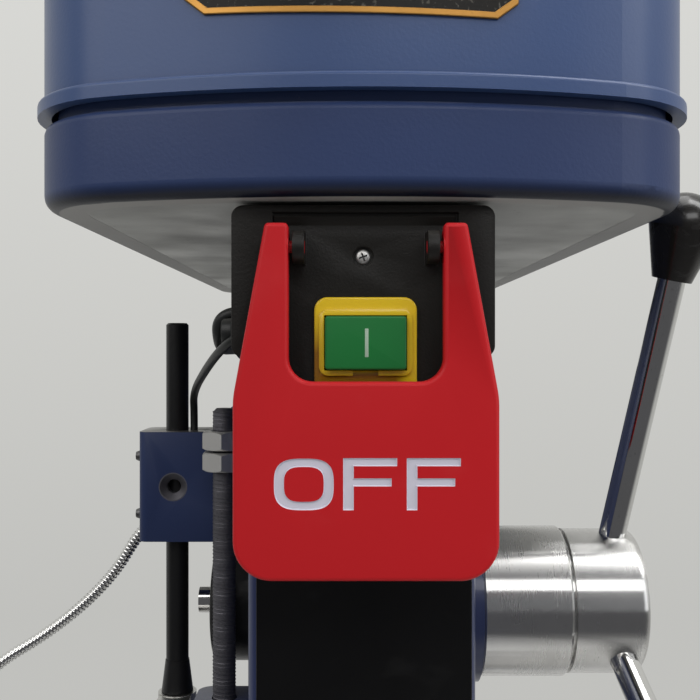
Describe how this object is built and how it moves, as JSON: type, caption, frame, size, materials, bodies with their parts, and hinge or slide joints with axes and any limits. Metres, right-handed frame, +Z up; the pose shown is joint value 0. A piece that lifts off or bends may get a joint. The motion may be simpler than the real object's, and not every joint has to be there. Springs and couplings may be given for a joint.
{
  "type": "drill press",
  "caption": "Bench drill press: slotted base, column with rack lift, tilting table, belt driven head, sprung quill, keyed chuck, feed handles, swing guard and a red stop paddle over the switch.",
  "frame": {"origin": "on the bench, under the column's axis", "axes": "+Z up along the column, -Y towards the operator, +X to the operator's right"},
  "size_m": [0.3474, 0.6539, 1.065],
  "materials": {
    "cover_blue": "gloss enamel",
    "casting_blue": "gloss enamel over cast iron",
    "black_plastic": "fine textured moulding",
    "black_enamel": "smooth satin enamel",
    "red_plastic": "smooth moulding",
    "yellow_plastic": "smooth moulding",
    "green_plastic": "smooth moulding",
    "black_knob": "polished moulding",
    "bright_steel": "ground and polished",
    "chrome": "polished plate",
    "dark_steel": "oiled, dark",
    "machined_iron": "ground face",
    "motor_paint": "satin enamel",
    "pulley_metal": "turned",
    "belt_rubber": "matt, fabric faced",
    "lead_rubber": "matt",
    "clear_plastic": "clear sheet"
  },
  "bodies": {
    "stand": {"base": "casting_blue", "column_flange": "casting_blue", "flange_bolts": "dark_steel", "column": "bright_steel", "rack_ring": "dark_steel", "head_casting": "casting_blue", "front_panel": "black_enamel", "drive_bearings": "dark_steel", "spring_cap": "black_enamel", "return_spring": "dark_steel", "switch_box": "black_plastic", "switch_module": "yellow_plastic", "switch_leads": "lead_rubber", "belt_pan": "cover_blue", "pan_floor": "bright_steel", "hinge_pins": "dark_steel", "drive_belt": "belt_rubber", "guard_block": "casting_blue", "lamp_neck": "bright_steel", "lamp_head": "black_plastic"},
    "rack": {"column_rack": "dark_steel"},
    "arm": {"table_arm": "casting_blue", "tilt_bolt": "dark_steel"},
    "crank": {"lift_pinion": "dark_steel", "crank_arm": "machined_iron"},
    "grip": {"crank_grip": "black_knob"},
    "column_lock": {"column_lock_lever": "black_knob"},
    "bracket": {"table_bracket": "casting_blue"},
    "table_lock": {"table_lock_lever": "black_knob"},
    "table": {"table": "machined_iron"},
    "quill": {"quill": "bright_steel", "quill_bearings": "dark_steel", "quill_collar": "bright_steel", "depth_rod": "dark_steel"},
    "nuts": {"depth_nuts": "bright_steel"},
    "spindle": {"spindle": "bright_steel", "chuck_body": "chrome"},
    "sleeve": {"chuck_sleeve": "chrome"},
    "jaw_1": {"chuck_jaw_1": "chrome"},
    "jaw_2": {"chuck_jaw_2": "chrome"},
    "jaw_3": {"chuck_jaw_3": "chrome"},
    "feed": {"feed_shaft": "chrome", "feed_hub": "chrome", "feed_spokes": "chrome", "feed_knobs": "black_knob"},
    "start_button": {"start_button": "green_plastic"},
    "stop_button": {"stop_button": "red_plastic"},
    "paddle": {"stop_paddle": "red_plastic"},
    "cover": {"belt_cover": "cover_blue"},
    "motor": {"motor_body": "motor_paint", "motor_fan_cover": "motor_paint", "motor_plate": "black_enamel", "slide_rods": "bright_steel"},
    "rotor": {"motor_shaft": "dark_steel", "motor_pulley": "pulley_metal"},
    "drive_pulley": {"spindle_pulley": "pulley_metal"},
    "slide_lock": {"slide_lock": "black_knob"},
    "guard_rod": {"guard_rod": "black_enamel"},
    "guard": {"guard_strap": "bright_steel", "guard_shield": "clear_plastic"}
  },
  "joints": [
    {"name": "table_swing", "type": "hinge", "parent": "stand", "child": "rack", "pos_m": [0, 0, 0.35], "axis": [0, 0, 1], "continuous": true},
    {"name": "table_lift", "type": "slide", "parent": "rack", "child": "arm", "axis": [0, 0, -1], "range_m": [-0.09, 0.12]},
    {"name": "crank_turn", "type": "hinge", "parent": "arm", "child": "crank", "pos_m": [0.062, 0.0564, 0.318], "axis": [-1, 0, 0], "range_deg": [-400, 532]},
    {"name": "grip_spin", "type": "hinge", "parent": "crank", "child": "grip", "pos_m": [0.097, 0.0564, 0.413], "axis": [1, 0, 0], "continuous": true},
    {"name": "column_lock_turn", "type": "hinge", "parent": "arm", "child": "column_lock", "pos_m": [-0.0675, -0.025, 0.32], "axis": [0, -1, 0], "range_deg": [-60, 30]},
    {"name": "table_tilt", "type": "hinge", "parent": "arm", "child": "bracket", "pos_m": [0, -0.16, 0.338], "axis": [0, 1, 0], "range_deg": [-45, 45]},
    {"name": "table_lock_turn", "type": "hinge", "parent": "bracket", "child": "table_lock", "pos_m": [0, -0.28, 0.3422], "axis": [0, -1, 0], "range_deg": [-60, 60]},
    {"name": "table_turn", "type": "hinge", "parent": "bracket", "child": "table", "pos_m": [0, -0.2265, 0.39], "axis": [0, 0, 1], "continuous": true},
    {"name": "quill_feed", "type": "slide", "parent": "stand", "child": "quill", "axis": [0, 0, -1], "range_m": [0, 0.08], "stiffness_N_per_m": 2000, "springref_m": -0.05},
    {"name": "depth_nut_set", "type": "slide", "parent": "quill", "child": "nuts", "axis": [0, 0, 1], "range_m": [-0.09, 0.008]},
    {"name": "spindle_spin", "type": "hinge", "parent": "quill", "child": "spindle", "pos_m": [0, -0.2265, 0.6], "axis": [0, 0, 1], "continuous": true},
    {"name": "sleeve_turn", "type": "hinge", "parent": "spindle", "child": "sleeve", "pos_m": [0, -0.2265, 0.56], "axis": [0, 0, 1], "range_deg": [-514, 2057]},
    {"name": "jaw_1_slide", "type": "slide", "parent": "spindle", "child": "jaw_1", "axis": [0, -0.2079, -0.9781], "range_m": [-0.0031, 0.0121]},
    {"name": "jaw_2_slide", "type": "slide", "parent": "spindle", "child": "jaw_2", "axis": [0.1801, 0.104, -0.9781], "range_m": [-0.0031, 0.0121]},
    {"name": "jaw_3_slide", "type": "slide", "parent": "spindle", "child": "jaw_3", "axis": [-0.1801, 0.104, -0.9781], "range_m": [-0.0031, 0.0121]},
    {"name": "feed_turn", "type": "hinge", "parent": "stand", "child": "feed", "pos_m": [0.06, -0.1895, 0.765], "axis": [1, 0, 0], "range_deg": [-1, 354]},
    {"name": "start_press", "type": "slide", "parent": "stand", "child": "start_button", "axis": [0, 1, 0], "range_m": [0, 0.003], "stiffness_N_per_m": 400, "springref_m": -0.004},
    {"name": "stop_press", "type": "slide", "parent": "stand", "child": "stop_button", "axis": [0, 1, 0], "range_m": [0, 0.003], "stiffness_N_per_m": 400, "springref_m": -0.004},
    {"name": "paddle_swing", "type": "hinge", "parent": "stand", "child": "paddle", "pos_m": [0, -0.3125, 0.9145], "axis": [-1, 0, 0], "range_deg": [-2, 55]},
    {"name": "cover_open", "type": "hinge", "parent": "stand", "child": "cover", "pos_m": [-0.129, 0, 0.9639], "axis": [0, -1, 0], "range_deg": [0, 100]},
    {"name": "motor_slide", "type": "slide", "parent": "stand", "child": "motor", "axis": [0, -1, 0], "range_m": [0, 0.012]},
    {"name": "motor_spin", "type": "hinge", "parent": "motor", "child": "rotor", "pos_m": [0, 0.185, 0.95], "axis": [0, 0, 1], "continuous": true},
    {"name": "pulley_spin", "type": "hinge", "parent": "stand", "child": "drive_pulley", "pos_m": [0, -0.2265, 0.95], "axis": [0, 0, 1], "continuous": true},
    {"name": "slide_lock_turn", "type": "hinge", "parent": "stand", "child": "slide_lock", "pos_m": [0.0677, 0, 0.8], "axis": [0, 0, 1], "range_deg": [-180, 180]},
    {"name": "guard_height", "type": "slide", "parent": "stand", "child": "guard_rod", "axis": [0, 0, -1], "range_m": [-0.028, 0.04]},
    {"name": "guard_swing", "type": "hinge", "parent": "guard_rod", "child": "guard", "pos_m": [-0.0817, -0.203, 0.6], "axis": [0, 0, -1], "range_deg": [0, 90]}
  ],
  "couplings": [
    {"joint": "crank_turn", "follows": "table_lift", "rad_per_m": 76.923},
    {"joint": "feed_turn", "follows": "quill_feed", "rad_per_m": 76.923},
    {"joint": "spindle_spin", "follows": "motor_spin", "ratio": 0.819},
    {"joint": "pulley_spin", "follows": "motor_spin", "ratio": 0.819},
    {"joint": "jaw_1_slide", "follows": "sleeve_turn", "m_per_rad": 0.0003342},
    {"joint": "jaw_2_slide", "follows": "sleeve_turn", "m_per_rad": 0.0003342},
    {"joint": "jaw_3_slide", "follows": "sleeve_turn", "m_per_rad": 0.0003342}
  ]
}
